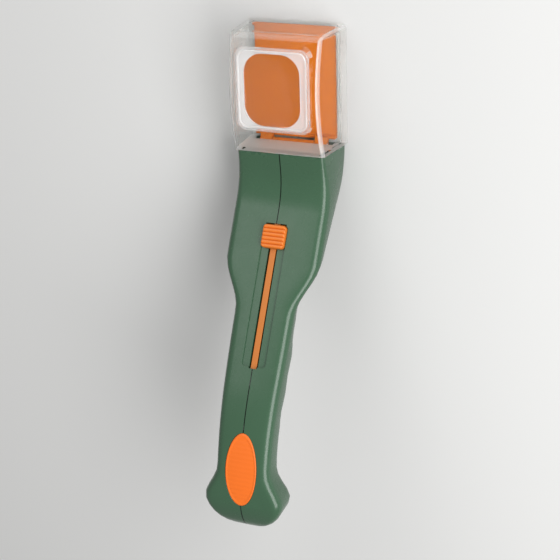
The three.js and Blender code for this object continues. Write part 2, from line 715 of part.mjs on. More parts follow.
function buttonLeg() {
  const hookTop = plateLow - PART_GAP;
  const hookLow = hookTop - HOOK_HEIGHT;
  const profile = new THREE.Shape();
  profile.moveTo(legInner, buttonLow + BUTTON_BODY / 2);
  profile.lineTo(legInner, hookLow);
  profile.lineTo(legOuter, hookLow);
  profile.lineTo(legOuter + HOOK_WIDTH, hookTop);
  profile.lineTo(legOuter, hookTop);
  profile.lineTo(legOuter, buttonLow + BUTTON_BODY / 2);
  profile.closePath();
  return along(profile, buttonY - LEG_HALF_LENGTH, buttonY + LEG_HALF_LENGTH);
}

function thumbButton(material) {
  const top = buttonLow + BUTTON_BODY;
  const pitch = BUTTON_LENGTH / BUTTON_RIDGES;
  const half = BUTTON_LENGTH / 2;
  const crest = top + BUTTON_RIDGE_HEIGHT / BEZIER_PEAK;
  const profile = new THREE.Shape();
  profile.moveTo(-half, buttonLow);
  profile.lineTo(half, buttonLow);
  profile.lineTo(half, top);
  for (let i = 0; i < BUTTON_RIDGES; i++) {
    const start = half - i * pitch;
    profile.bezierCurveTo(start, crest, start - pitch, crest, start - pitch, top);
  }
  profile.closePath();
  const place = new THREE.Matrix4().makeTranslation(0, buttonY, 0);
  const block = across(profile, BUTTON_WIDTH, place);
  const plan = roundedRectangle(BUTTON_WIDTH / 2, half, BUTTON_CORNER);
  const cap = block.intersect(raised(plan, buttonLow, FAR, place));
  const leg = buttonLeg();
  return meshOf("thumb_button", joined([cap, leg, mirrored(leg)]), material);
}

// Fixed strip along the middle of the slot, its ends held between the two halves
function slotStrip(material) {
  const strip = boxBetween(
    [-STRIP_HALF_WIDTH, stripEndY, stripLowZ],
    [STRIP_HALF_WIDTH, stripFrontY, stripTopZ],
  );
  return meshOf("slot_strip", strip, material);
}

function hingePin(material) {
  return meshOf("hinge_pin", barAlongX(PIN_RADIUS, -PIN_LENGTH / 2, PIN_LENGTH / 2, 0, 0), material);
}

// Handle halves
const bossPlaces = [
  [HEAD_BOSS_BACK, HEAD_BOSS_SHARE],
  [NECK_BOSS_BACK, NECK_BOSS_SHARE],
  [GRIP_BOSS_BACK, GRIP_BOSS_SHARE],
  [HANDLE_LENGTH - POMMEL_BOSS_INSET, GRIP_BOSS_SHARE],
].map(([back, share]) => {
  const { top, bottom, halfTop, halfBottom } = handleSection(back, 0);
  const seat = mix(halfBottom, halfTop, share) - SCREW_SINK - SCREW_HEAD_HEIGHT - PART_GAP;
  return { y: -back, z: mix(bottom, top, share), seat };
});

function inlayPrism(grow) {
  const shape = new THREE.Shape();
  shape.absellipse(0, -inlayBack, INLAY_WIDTH / 2 + grow, INLAY_LENGTH / 2 + grow, 0, 2 * Math.PI);
  return raised(shape, 0, FAR, undefined, OVAL_SEGMENTS);
}

const lowered = (solid, drop) => solid.translate([0, 0, -drop]);
const outerBody = handleHalf(0, 0, 0, OUTER_STEP, FINE_STEPS);
const outerWhole = outerBody.add(mirrored(outerBody));
const inlayBed = lowered(outerWhole, INLAY_SINK);

function gripInlay(material) {
  const blank = inlayPrism(-PART_GAP).intersect(lowered(outerWhole, -INLAY_PROUD));
  const body = blank.subtract(lowered(outerWhole, INLAY_SINK - PART_GAP));
  const field = inlayPrism(-INLAY_RIM).subtract(lowered(outerWhole, INLAY_RIB_DEPTH - INLAY_PROUD));
  const pitch = (INLAY_LENGTH - 2 * INLAY_RIM) / INLAY_RIBS;
  const halfGroove = (pitch * INLAY_GROOVE_SHARE) / 2;
  const grooves = Array.from({ length: INLAY_RIBS }, (_, i) => {
    const y = -inlayBack + (i - (INLAY_RIBS - 1) / 2) * pitch;
    return boxBetween([-FAR, y - halfGroove, 0], [FAR, y + halfGroove, FAR]);
  });
  return meshOf("grip_inlay", body.subtract(field.intersect(joined(grooves))), material);
}

// Pegs of the two halves reach through the tongues.
const pegTip = handleSection(TONGUE_LENGTH / 2, tongueWall).halfTop;

function handleShell(name, side, material) {
  const seam = PART_GAP / 2;
  const beyondSeam = boxBetween([seam, -FAR, -FAR], [FAR, FAR, FAR]);
  const outer = handleHalf(PART_GAP, 0, seam, OUTER_STEP, FINE_STEPS);
  const inner = handleHalf(-CHAMBER_WALL, HANDLE_WALL, 0, INNER_STEP, COARSE_STEPS);
  const floorPad = boxBetween(
    [0, stripEndY - HANDLE_WALL, floorUnderZ],
    [recessHalfWidth + HANDLE_WALL, stripFrontY + HANDLE_WALL, surfaceZ],
    slideMatrix,
  );
  const rib = boxBetween(
    [ribInner, stripEndY - HANDLE_WALL, plateLow - GUIDE_REACH],
    [ribOuter, slideY(GUIDE_START), floorUnderZ + PART_GAP],
    slideMatrix,
  );
  const inlayPad = inlayPrism(HANDLE_WALL).subtract(lowered(outerWhole, INLAY_SINK + HANDLE_WALL));
  const bosses = bossPlaces.map(({ y, z }) => barAlongX(BOSS_RADIUS, seam, FAR, y, z));
  const peg = barAlongX(PEG_RADIUS, pegTip, FAR, -TONGUE_LENGTH / 2, PEG_HEIGHT);
  const frontWall = boxBetween(
    [0, -PART_GAP - HANDLE_WALL, frontWallLow],
    [tongueInner - PART_GAP, 0, FAR],
  );
  const kept = joined([floorPad, rib, inlayPad, frontWall, ...bosses, peg]);
  const recess = slotCut(recessHalfWidth, BUTTON_CORNER, recessEndY, recessFloorZ);
  const slot = slotCut(slotHalfWidth, SLOT_CORNER, slotEndY, floorUnderZ - CUT_MARGIN);
  const stripSeat = boxBetween(
    [-STRIP_HALF_WIDTH - PART_GAP, stripEndY - PART_GAP, stripLowZ - PART_GAP],
    [STRIP_HALF_WIDTH + PART_GAP, stripFrontY + PART_GAP, stripTopZ + PART_GAP],
    slideMatrix,
  );
  const oval = inlayPrism(0).subtract(inlayBed);
  const holes = bossPlaces.map((boss) => (side > 0 ? pilotHole(boss) : headHole(boss)));
  const shell = outer.subtract(inner.subtract(kept)).intersect(beyondSeam);
  const cut = [recess, slot, stripSeat, oval, ...holes].reduce((body, next) => body.subtract(next), shell);
  return meshOf(name, side > 0 ? cut : mirrored(cut), material);
}

// An upright cut in the slide's frame, from the recess's front end back to the given end.
function slotCut(half, corner, endY, lowZ) {
  const middle = new THREE.Matrix4().makeTranslation(0, (recessFrontY + endY) / 2, 0);
  const plan = roundedRectangle(half, (recessFrontY - endY) / 2, corner);
  return raised(plan, lowZ, FAR, slideMatrix.clone().multiply(middle));
}

// The screws come in from the left; both halves are drawn here on the +X side.
function headHole({ y, z, seat }) {
  const bore = barAlongX(SCREW_RADIUS + PART_GAP, -FAR, FAR, y, z);
  return bore.add(barAlongX(SCREW_HEAD_RADIUS + PART_GAP, seat, FAR, y, z));
}

function pilotHole({ y, z }) {
  return barAlongX(SCREW_RADIUS + PART_GAP, -FAR, SCREW_REACH + PART_GAP, y, z);
}

function caseScrew(index, { y, z, seat }, material) {
  const under = -seat - PART_GAP;
  const head = barAlongX(SCREW_HEAD_RADIUS, under - SCREW_HEAD_HEIGHT, under, y, z);
  const shank = barAlongX(SCREW_RADIUS, under - SCREW_HEAD_HEIGHT / 2, SCREW_REACH, y, z);
  return meshOf(`case_screw_${index + 1}`, head.add(shank), material);
}

// Materials
function plastic(color, roughness, extra = {}) {
  return new THREE.MeshStandardMaterial({ color, roughness, metalness: 0, ...extra });
}
const green = plastic(0x4a6a55, 0.5);
const orange = plastic(0xf07a1e, 0.42);
const clear = plastic(0xf4f4f2, 0.05, { transparent: true, opacity: 0.3 });
const steel = new THREE.MeshStandardMaterial({ color: 0xb8bcc0, roughness: 0.3, metalness: 1 });

// Assembly: the origin lies under the middle of the whole length
const bugCatcher = new THREE.Group();
const body = new THREE.Group();
body.position.y = (HANDLE_LENGTH - CHAMBER_LENGTH) / 2;
bugCatcher.add(body);

const slide = new THREE.Group();
slide.position.copy(hingePlace);
slide.rotation.x = -RISE;
slide.add(slideCarriage(orange));
slide.add(thumbButton(orange));
slide.add(slotStrip(orange));
slide.add(hingePin(steel));

body.add(handleShell("handle_right_shell", 1, green));
body.add(handleShell("handle_left_shell", -1, green));
body.add(captureChamber(clear));
body.add(magnifierLens(clear));
body.add(trapDoor(orange));
body.add(gripInlay(orange));
bossPlaces.forEach((boss, index) => body.add(caseScrew(index, boss, steel)));
body.add(slide);

export default bugCatcher;
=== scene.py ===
"""Looks of the bug catcher: its finishes, its edges and the studio that it is shown in."""
import math

import bmesh
import bpy
from mathutils import Matrix, Vector


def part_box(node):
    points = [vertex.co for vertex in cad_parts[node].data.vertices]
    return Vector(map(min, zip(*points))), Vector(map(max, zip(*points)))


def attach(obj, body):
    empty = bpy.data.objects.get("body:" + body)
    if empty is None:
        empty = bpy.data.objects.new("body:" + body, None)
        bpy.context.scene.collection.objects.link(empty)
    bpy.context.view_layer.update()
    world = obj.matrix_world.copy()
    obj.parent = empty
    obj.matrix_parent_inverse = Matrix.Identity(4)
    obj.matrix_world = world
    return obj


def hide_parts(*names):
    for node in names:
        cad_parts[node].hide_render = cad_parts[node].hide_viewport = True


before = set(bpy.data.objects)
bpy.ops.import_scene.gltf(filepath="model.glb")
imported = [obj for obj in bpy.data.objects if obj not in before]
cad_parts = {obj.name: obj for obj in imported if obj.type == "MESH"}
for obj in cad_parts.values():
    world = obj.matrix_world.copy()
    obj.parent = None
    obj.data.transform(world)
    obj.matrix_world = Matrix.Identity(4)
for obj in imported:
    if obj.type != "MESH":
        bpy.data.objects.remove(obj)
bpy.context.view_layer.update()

# Modelling
MM = 0.001
WELD = 0.001 * MM
SLIVER = 0.02 * MM
FLAT_ANGLE = math.radians(0.2)
SMOOTH_ANGLE = math.radians(36)
EDGE_ANGLE = math.radians(50)
EDGE_ROUND = 0.25 * MM
EDGE_SEGMENTS = 2
ROUND_PROFILE = 0.5

# Slide: its hinge line, and how steeply its slot rises from there
HINGE = Vector((0, 74.35, 9.002)) * MM
SLOT_RISE = math.radians(29.2)
SLIDE_FRAME = Matrix.Translation(HINGE) @ Matrix.Rotation(-SLOT_RISE, 4, "X")

# Thumb button, in the slide's frame
BUTTON_PLACE = Vector((0, -61.17, 5.3)) * MM
BUTTON_HALF_WIDTH = 7.6 * MM
BUTTON_HALF_LENGTH = 7.3 * MM
BUTTON_CORNER = 2.4 * MM
BUTTON_BODY = 2.7 * MM
BUTTON_EDGE = 0.8 * MM
BUTTON_RIDGES = 6
RIDGE_HEIGHT = 1.0 * MM
RIDGE_END = 1.3 * MM
RIDGE_ROWS = 12
RIDGE_COLUMNS = 36

# Recess round the slot, and the gap ahead of the closed button
RECESS_BAND = 11.2 * MM
RECESS_FRONT = 36.0 * MM
RECESS_BACK = -131.0 * MM
RECESS_ALIKE = math.cos(math.radians(8))
WELL_HALF_WIDTH = 6.8 * MM
WELL_LENGTH = 3.0 * MM
WELL_GAP = 1.0 * MM
WELL_DEPTH = 12.0 * MM

# Seam between the handle's halves
SEAM_GAP = 0.3 * MM
SEAM_DEPTH = 0.6 * MM
# Painted shadow along the seam: how dark it is, and how softly it fades out
SEAM_PAINTED_SHADOW = 0.1
SEAM_FADE = 0.08 * MM
SEAM_LIP = 0.26 * MM
SEAM_FACING = 0.99

# Chamber: which of its faces are turned or at the rear, and how cloudy those are; where the walls turn,
# the cloudy white is partly a painted highlight
TURNED_WALL = 0.93
REAR_WALL = 80.0 * MM
REAR_HAZE = 1.0
SIDE_HAZE_AND_HIGHLIGHT = 0.6
FRONT_HAZE_AND_HIGHLIGHT = 0.18

# Magnifier
LENS_WIDTH = 35.8 * MM
LENS_LENGTH = 44.0 * MM
LENS_CORNER = 12.0 * MM
LENS_BULGE = 3.0 * MM
LENS_UNDER = 1.0 * MM
LENS_STEP = 0.8 * MM
LENS_RINGS = 16
LENS_FIT = 0.05 * MM
FRAME_CORNER = 6.0 * MM
FRAME_HEIGHT = 1.6 * MM
FRAME_TAPER = 0.5 * MM
FRAME_LEDGE = 1.2 * MM
LEDGE_DROP = 0.6 * MM
FRAME_EDGE = 0.3 * MM
BEAD_WIDTH = 1.1 * MM
BEAD_HEIGHT = 0.7 * MM
CORNER_STEPS = 12

# Handle's top: its crest at the pommel, its bend from there, and its crown
GRIP_CREST = -131.25 * MM
GRIP_BEND_LENGTH = 75.0 * MM
TOP_CROWN = 0.5 * MM
TOP_FLAT = 12.0 * MM
HEAD_FLAT = 22.0 * MM
NECK_FRONT = 10.75 * MM
NECK_BACK = -18.25 * MM

# Grip oval
OVAL_PROUD = 0.6 * MM
OVAL_EDGE = 0.5 * MM
OVAL_RIM = 0.6 * MM
OVAL_SINK = 0.25 * MM
OVAL_DEPTH = 1.5 * MM
OVAL_RIBS = 16
RIB_HEIGHT = 0.05 * MM
RIB_ROWS = 8
OVAL_COLUMNS = 40
OVAL_END = 0.98

# Case screws
CASE_SCREWS = 4
SCREW_SIDES = 48
SHANK_RADIUS = 1.4 * MM
HEAD_HEIGHT = 1.8 * MM
HEAD_EDGE = 0.6 * MM
CROSS_ARM = 1.6 * MM
CROSS_HALF_WIDTH = 0.4 * MM
CROSS_TAPER = 0.6
CROSS_DEPTH = 1.1 * MM
LEAST_SINE = 0.01

# Soft changes of shade and polish in the finishes
GRAIN_SIZE = 0.4 * MM
GRAIN_DEPTH = 0.001 * MM
MOULDED_SHADE_SIZE = 30.0 * MM
MOULDED_SHADE_SPREAD = 0.025
MOULDED_POLISH_SIZE = 8.0 * MM
MOULDED_POLISH_SPREAD = 0.02
STEEL_SHADE_SIZE = 1.0 * MM
STEEL_SHADE_SPREAD = 0.06
STEEL_POLISH_SIZE = 0.4 * MM
STEEL_POLISH_SPREAD = 0.08
CLEAR_POLISH_SIZE = 9.0 * MM
CLEAR_POLISH_SPREAD = 0.02
CLOUD_DETAIL = 2.0
CLOUD_LOW = 0.35
CLOUD_HIGH = 0.65
SHADE_LOW = 0.3
SHADE_HIGH = 0.7

# Camera, in the catcher's own frame
CAMERA_PLACE = Vector((336.8, 338.9, 818.1)) * MM
CAMERA_BACK = Vector((0.36695, 0.37703, 0.85041))
CAMERA_ROLL = math.radians(-1.8)
CAMERA_LENS = 94.65
CAMERA_SENSOR = 36.0

# Studio
FLOOR_DROP = 0.3 * MM
FLOOR_SIZE = 3.2
FLOOR_SEEN = (0.7, 0.7, 0.69)
FLOOR_BOUNCE = (0.25, 0.25, 0.24)
FLOOR_ROUGHNESS = 0.9
ROOM_LIGHT = 0.25
ROOM_GLOSS = 0.4
ROOM_SEEN = 0.55
STRAIGHT = ("Is Camera Ray", "Is Transmission Ray")
GLOSSY = "Is Glossy Ray"
RIGHT_BOX = dict(direction=(0.72, 0.07, 0.69), distance=1.1, width=1.4, height=0.6, power=15)
FRONT_BOX = dict(direction=(-0.35, 0.75, 0.56), distance=1.5, width=1.2, height=1.2, power=8.5)

scene = bpy.context.scene
scene.view_settings.view_transform = "Standard"


# Finishes
def finish(name, roughness, **sockets):
    """A new Principled material, with its even values set on the shader's own sockets."""
    material = bpy.data.materials.new(name)
    material.use_nodes = True
    shader = material.node_tree.nodes["Principled BSDF"]
    shader.inputs["Roughness"].default_value = roughness
    for socket, value in sockets.items():
        shader.inputs[socket.replace("_", " ")].default_value = value
    return material


def add_node(tree, kind, links=None, **values):
    """One shader node, with its properties, its even inputs and the links into it."""
    node = tree.nodes.new(kind)
    for key, value in values.items():
        if key in node.inputs:
            node.inputs[key].default_value = value
        else:
            setattr(node, key, value)
    for key, source in (links or {}).items():
        tree.links.new(source, node.inputs[key])
    return node


def own_place(tree):
    """The place on the piece, in the piece's own frame."""
    return add_node(tree, "ShaderNodeTexCoord").outputs["Object"]


def cloud(tree, size):
    """Soft noise whose blotches are about the given size."""
    links = {"Vector": own_place(tree)}
    return add_node(tree, "ShaderNodeTexNoise", links, Scale=1 / size, Detail=CLOUD_DETAIL).outputs["Fac"]


def between(tree, factor, low, high, low_at=CLOUD_LOW, high_at=CLOUD_HIGH):
    """Values from low to high as the factor goes between two levels."""
    node = add_node(tree, "ShaderNodeMapRange", {"Value": factor})
    values = {"From Min": low_at, "From Max": high_at, "To Min": low, "To Max": high}
    for socket, value in values.items():
        node.inputs[socket].default_value = value
    return node.outputs["Result"]


def blend_colours(tree, factor, first, second):
    """A colour that goes from the first to the second with the factor."""
    ramp = add_node(tree, "ShaderNodeValToRGB", {"Fac": factor})
    stops = zip(ramp.color_ramp.elements, (first, second), (SHADE_LOW, SHADE_HIGH))
    for element, colour, position in stops:
        element.color = (*colour, 1)
        element.position = position
    return ramp.outputs["Color"]


def drive(tree, socket, source):
    """Let a node steer one of the shader's sockets."""
    tree.links.new(source, tree.nodes["Principled BSDF"].inputs[socket])


def shades(colour, spread):
    """A slightly darker and a slightly lighter shade of one colour."""
    return [tuple(channel * share for channel in colour) for share in (1 - spread, 1 + spread)]


def painted_seam_shadow(tree, colour):
    """The colour, nearly black along the seam as a painted shadow in the gap between the halves."""
    across = add_node(tree, "ShaderNodeSeparateXYZ", {"Vector": own_place(tree)}).outputs["X"]
    distance = add_node(tree, "ShaderNodeMath", {0: across}, operation="ABSOLUTE").outputs["Value"]
    shade = between(tree, distance, SEAM_PAINTED_SHADOW, 1.0, SEAM_GAP, SEAM_GAP + SEAM_FADE)
    links = {"Vector": colour, "Scale": shade}
    seam_shadowed = add_node(tree, "ShaderNodeVectorMath", links, operation="SCALE")
    return seam_shadowed.outputs["Vector"]


def vary_polish(tree, size, smoothest, roughest):
    """Let the roughness change softly between two values."""
    drive(tree, "Roughness", between(tree, cloud(tree, size), smoothest, roughest))


def moulded_plastic(name, colour, roughness, seam_shadow_painted=False, gloss=0.5):
    """Satin plastic with a very fine grain and hardly any change of shade."""
    material = finish(name, roughness, Specular_IOR_Level=gloss)
    tree = material.node_tree
    blotches = cloud(tree, MOULDED_SHADE_SIZE)
    shade = blend_colours(tree, blotches, *shades(colour, MOULDED_SHADE_SPREAD))
    # Along the seam the colour carries a painted shadow
    drive(tree, "Base Color", painted_seam_shadow(tree, shade) if seam_shadow_painted else shade)
    vary_polish(tree, MOULDED_POLISH_SIZE,
                roughness - MOULDED_POLISH_SPREAD, roughness + MOULDED_POLISH_SPREAD)
    height = {"Height": cloud(tree, GRAIN_SIZE)}
    grain = add_node(tree, "ShaderNodeBump", height, Strength=1.0, Distance=GRAIN_DEPTH)
    drive(tree, "Normal", grain.outputs["Normal"])
    return material


def brushed_steel(name, colour, roughness):
    """Plain steel whose polish and shade change a little."""
    material = finish(name, roughness, Metallic=1.0)
    tree = material.node_tree
    blotches = cloud(tree, STEEL_SHADE_SIZE)
    drive(tree, "Base Color", blend_colours(tree, blotches, *shades(colour, STEEL_SHADE_SPREAD)))
    vary_polish(tree, STEEL_POLISH_SIZE,
                roughness - STEEL_POLISH_SPREAD, roughness + STEEL_POLISH_SPREAD)
    return material


def let_lamps_through(tree, share):
    """Lamps shine through the clear plastic on what it holds."""
    path = add_node(tree, "ShaderNodeLightPath")
    open_way = add_node(tree, "ShaderNodeBsdfTransparent", Color=(share, share, share, 1))
    mixed = add_node(tree, "ShaderNodeMixShader", {
        0: path.outputs["Is Shadow Ray"],
        1: tree.nodes["Principled BSDF"].outputs["BSDF"],
        2: open_way.outputs["BSDF"],
    })
    tree.links.new(mixed.outputs["Shader"], tree.nodes["Material Output"].inputs["Surface"])


def clear_plastic(name, colour, roughness, lamp_share, bend, clearness=1.0, polish=0.0, haze_and_highlight_share=0.0):
    """Clear plastic: bend is its refraction, polish a glossy skin, haze_and_highlight_share what cloudy
    white takes away, partly as a painted highlight.
    """
    material = finish(name, roughness, Base_Color=(*colour, 1), IOR=bend, Transmission_Weight=clearness,
                      Coat_Weight=polish, Coat_Roughness=roughness)
    tree = material.node_tree
    vary_polish(tree, CLEAR_POLISH_SIZE, roughness, roughness + CLEAR_POLISH_SPREAD)
    if haze_and_highlight_share:
        haze_and_highlight = add_node(tree, "ShaderNodeAttribute", attribute_name="haze_and_highlight").outputs["Fac"]
        drive(tree, "Transmission Weight", between(tree, haze_and_highlight, clearness, clearness - haze_and_highlight_share, 0, 1))
    let_lamps_through(tree, lamp_share)
    return material


# The handle's green carries a painted shadow along its seam
GREEN = moulded_plastic("moulded_green", (0.044, 0.106, 0.057), roughness=0.27, seam_shadow_painted=True)
DOOR_ORANGE = moulded_plastic("door_orange", (0.62, 0.155, 0.006), roughness=0.42, gloss=0.2)
BUTTON_ORANGE = moulded_plastic("button_orange", (0.78, 0.195, 0.022), roughness=0.42)
# A darker copy of the orange, with the shade of the slot painted in
SHADED_STRIP_ORANGE = moulded_plastic("strip_orange_painted_shade", (0.56, 0.17, 0.022), roughness=0.45)
INLAY_ORANGE = moulded_plastic("inlay_orange", (0.86, 0.165, 0.012), roughness=0.5)
# Where the chamber's walls turn, cloudy white in the clear plastic is partly a painted highlight
CLEAR = clear_plastic("clear_plastic", (0.98, 0.98, 0.97), roughness=0.015, lamp_share=0.35,
                      bend=1.03, polish=0.3, haze_and_highlight_share=0.5)
LENS_CLEAR = clear_plastic("lens_clear", (0.99, 0.98, 0.97), roughness=0.12, lamp_share=0.35, bend=1.55)
MILKY = clear_plastic("milky_plastic", (0.95, 0.94, 0.94), roughness=0.06, lamp_share=0.4,
                      bend=1.4, clearness=0.6, polish=1.0)
LEDGE_CLEAR = clear_plastic("ledge_clear", (0.96, 0.95, 0.95), roughness=0.05, lamp_share=0.4,
                            bend=1.4, clearness=0.8, polish=1.0)
STEEL = brushed_steel("screw_steel", (0.56, 0.57, 0.6), roughness=0.3)


# Shapes
def welded_copy(node, weld=WELD):
    """A copy of a node's loose triangles, welded into one skin with its flat faces whole."""
    shape = bmesh.new()
    shape.from_mesh(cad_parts[node].data)
    bmesh.ops.remove_doubles(shape, verts=shape.verts, dist=weld)
    bmesh.ops.dissolve_limit(shape, angle_limit=FLAT_ANGLE, verts=shape.verts, edges=shape.edges)
    return shape


def ease_edges(shape):
    """Round the outward edges of a shape a little."""
    sharp = [edge for edge in shape.edges if edge.is_convex and edge.calc_face_angle(0) > EDGE_ANGLE]
    bmesh.ops.bevel(shape, geom=sharp, offset=EDGE_ROUND, segments=EDGE_SEGMENTS,
                    profile=ROUND_PROFILE, affect="EDGES", material=-1)
    return shape


def open_edges(shape):
    """The edges round a shape's openings."""
    return [edge for edge in shape.edges if edge.is_boundary]


def extruded_rim(sheet):
    """Extrude the rim of a sheet, and give the new points, still in place."""
    skirt = bmesh.ops.extrude_edge_only(sheet, edges=open_edges(sheet))["geom"]
    return [item for item in skirt if isinstance(item, bmesh.types.BMVert)]


def rounded_ring(half_x, half_y, corner, z):
    """Points round a rectangle with round corners."""
    points = []
    for quarter, (side_x, side_y) in enumerate(((1, 1), (-1, 1), (-1, -1), (1, -1))):
        for step in range(CORNER_STEPS + 1):
            turn = math.pi / 2 * (quarter + step / CORNER_STEPS)
            x = side_x * (half_x - corner) + corner * math.cos(turn)
            y = side_y * (half_y - corner) + corner * math.sin(turn)
            points.append(Vector((x, y, z)))
    return points


def skin_through(rings, capped=True):
    """A skin through rings of points: the first ring's edges are extruded to each next ring in turn."""
    shape = bmesh.new()
    verts = [shape.verts.new(point) for point in rings[0]]
    edges = first = [shape.edges.new(pair) for pair in zip(verts, verts[1:] + verts[:1])]
    for ring in rings[1:]:
        grown = bmesh.ops.extrude_edge_only(shape, edges=edges)["geom"]
        fresh = {item for item in grown if isinstance(item, bmesh.types.BMVert)}
        verts = [next(e.other_vert(v) for e in v.link_edges if e.other_vert(v) in fresh) for v in verts]
        for vert, point in zip(verts, ring):
            vert.co = point
        edges = [e for e in grown if isinstance(e, bmesh.types.BMEdge) and fresh.issuperset(e.verts)]
    if capped:
        bmesh.ops.edgeloop_fill(shape, edges=first)
        bmesh.ops.edgeloop_fill(shape, edges=edges)
    else:
        bmesh.ops.remove_doubles(shape, verts=shape.verts, dist=WELD)
    return shape


def ring_shape(rings):
    """A closed ring whose section runs through the given rings and back to the first."""
    return skin_through(rings + rings[:1], capped=False)


def add_piece(shape, name, body, material, nodes):
    """A finished piece, which rides its body and is shown in place of its nodes."""
    bmesh.ops.recalc_face_normals(shape, faces=shape.faces)
    mesh = bpy.data.meshes.new(name)
    for face in shape.faces:
        face.smooth = True
    shape.to_mesh(mesh)
    shape.free()
    mesh.set_sharp_from_angle(angle=SMOOTH_ANGLE)
    mesh.materials.append(material)
    piece = bpy.data.objects.new(name, mesh)
    scene.collection.objects.link(piece)
    normals = piece.modifiers.new("even_normals", "WEIGHTED_NORMAL")
    normals.keep_sharp = True
    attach(piece, body)
    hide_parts(*nodes)
    return piece


# Handle: its top rises evenly with the slot and levels out to a crest at the pommel
def top_normal(x, y):
    """The direction that the handle's top faces at one place."""
    grade = math.tan(SLOT_RISE) * min((y - GRIP_CREST) / GRIP_BEND_LENGTH, 1)
    widening = min(max((y - NECK_BACK) / (NECK_FRONT - NECK_BACK), 0), 1)
    flat = TOP_FLAT + widening * (HEAD_FLAT - TOP_FLAT)
    return Vector((2 * TOP_CROWN * x / flat ** 2, grade, 1)).normalized()


def even_top(mesh):
    """Let the top's normals run on past the recess cut in it, as they would on the whole surface."""
    normals = [corner.vector.copy() for corner in mesh.corner_normals]
    for face in mesh.polygons:
        for loop in face.loop_indices:
            place = mesh.vertices[mesh.loops[loop].vertex_index].co
            whole = top_normal(place.x, place.y)
            near = abs(place.x) < RECESS_BAND and RECESS_BACK < place.y < RECESS_FRONT
            if near and face.normal.dot(whole) > RECESS_ALIKE:
                normals[loop] = whole
    mesh.normals_split_custom_set(normals)


def thumb_well():
    """The gap ahead of the closed button, which opens into the hollow handle."""
    well = bmesh.new()
    size = Matrix.Diagonal((2 * WELL_HALF_WIDTH, WELL_LENGTH, WELL_DEPTH, 1))
    middle = BUTTON_PLACE + Vector((0, BUTTON_HALF_LENGTH + WELL_GAP - WELL_LENGTH / 2, 0))
    bmesh.ops.create_cube(well, size=1, matrix=SLIDE_FRAME @ Matrix.Translation(middle) @ size)
    return well


def carved(shape, cutter):
    """The shape less the cutter."""
    meshes = [bpy.data.meshes.new(name) for name in ("carved", "cutter")]
    objects = [bpy.data.objects.new(mesh.name, mesh) for mesh in meshes]
    for part, mesh, thing in zip((shape, cutter), meshes, objects):
        part.to_mesh(mesh)
        part.free()
        scene.collection.objects.link(thing)
    carve = objects[0].modifiers.new("carve", "BOOLEAN")
    carve.object = objects[1]
    result = bmesh.new()
    result.from_object(objects[0], bpy.context.evaluated_depsgraph_get())
    for thing, mesh in zip(objects, meshes):
        bpy.data.objects.remove(thing)
        bpy.data.meshes.remove(mesh)
    return result


def close_seam(half):
    """A lip along the left half's seam, inside the skin, that reaches across the gap."""
    facing = [face for face in half.faces if face.normal.x > SEAM_FACING]
    seam = [face for face in facing if abs(face.calc_center_median().x) < SEAM_GAP]
    bmesh.ops.inset_region(half, faces=seam, thickness=SEAM_DEPTH, use_even_offset=True)
    lip = {vert for face in seam for vert in face.verts}
    bmesh.ops.translate(half, verts=list(lip), vec=(SEAM_LIP, 0, 0))


def add_handle():
    """The two halves, each with its share of the gap ahead of the button."""
    for side in ("right", "left"):
        node = f"handle_{side}_shell"
        half = carved(welded_copy(node, SLIVER), thumb_well())
        if side == "left":
            close_seam(half)
        piece = add_piece(half, f"handle_{side}_half", "handle", GREEN, [node])
        piece.modifiers.clear()
        even_top(piece.data)


def add_plain(node, name, body, material):
    """A piece with the solid's own shape and eased edges."""
    add_piece(ease_edges(welded_copy(node)), name, body, material, [node])


# Chamber: clear walls, a little cloudy where they turn, with that cloudy white partly a painted
# highlight, and across the rear
def haze_and_highlight_of(face):
    """How cloudy one face of the chamber is; on the turned faces this cloudy white is partly a painted
    highlight.
    """
    straight = max(abs(axis) for axis in face.normal)
    if straight < TURNED_WALL:
        return SIDE_HAZE_AND_HIGHLIGHT if abs(face.normal.x) > abs(face.normal.y) else FRONT_HAZE_AND_HIGHLIGHT
    return REAR_HAZE if abs(face.normal.y) > TURNED_WALL and face.center.y < REAR_WALL else 0.0


def add_chamber():
    """The chamber, with its haze and painted highlight kept on its faces."""
    node = "capture_chamber"
    piece = add_piece(welded_copy(node), "chamber", "handle", CLEAR, [node])
    haze_and_highlight = piece.data.attributes.new("haze_and_highlight", "FLOAT", "FACE")
    for face, share in zip(piece.data.polygons, haze_and_highlight.data):
        share.value = haze_and_highlight_of(face)


